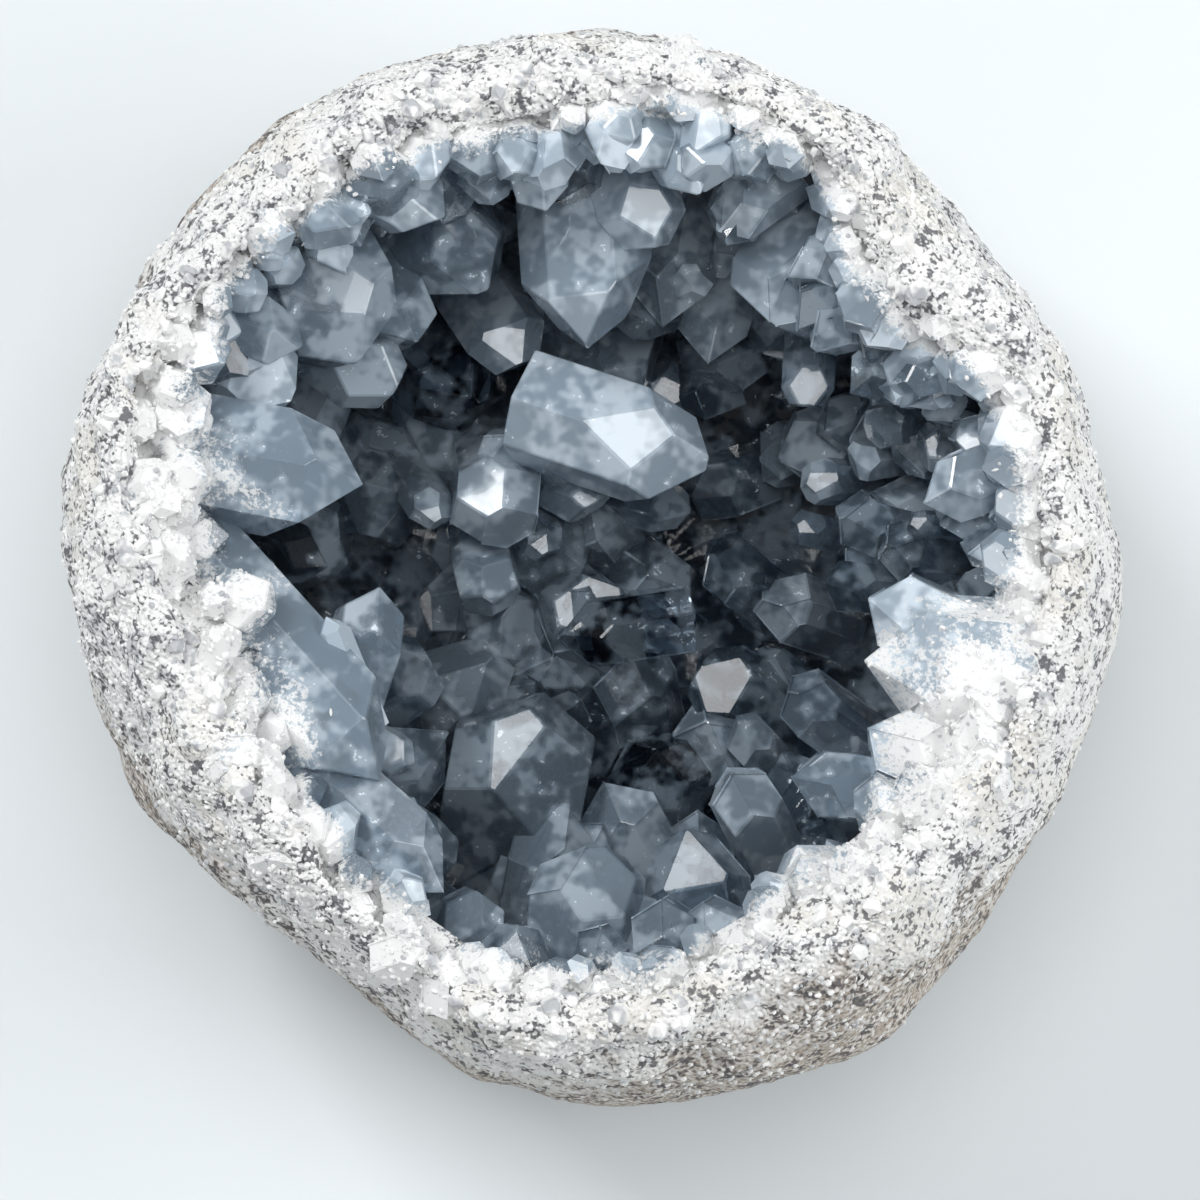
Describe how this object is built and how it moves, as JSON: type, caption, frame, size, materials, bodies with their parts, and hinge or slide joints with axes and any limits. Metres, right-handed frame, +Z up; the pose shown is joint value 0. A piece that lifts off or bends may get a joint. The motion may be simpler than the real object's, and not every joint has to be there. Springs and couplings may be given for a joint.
{
  "type": "celestite geode",
  "caption": "Rough bowl of pale stone, open at the top and lined with blocky grey-blue celestite crystals.",
  "frame": {"origin": "centre of the outline seen from above, at the level of the flat spot it rests on", "axes": "+Z up out of the open hollow; +X right and -Y towards the bottom edge, as the picture looks down on it"},
  "size_m": [0.1808, 0.1838, 0.1166],
  "materials": {
    "stone": "matte",
    "celestite": "polished"
  },
  "bodies": {
    "root": {"rind": "stone", "crystal_crust": "celestite"}
  },
  "joints": []
}
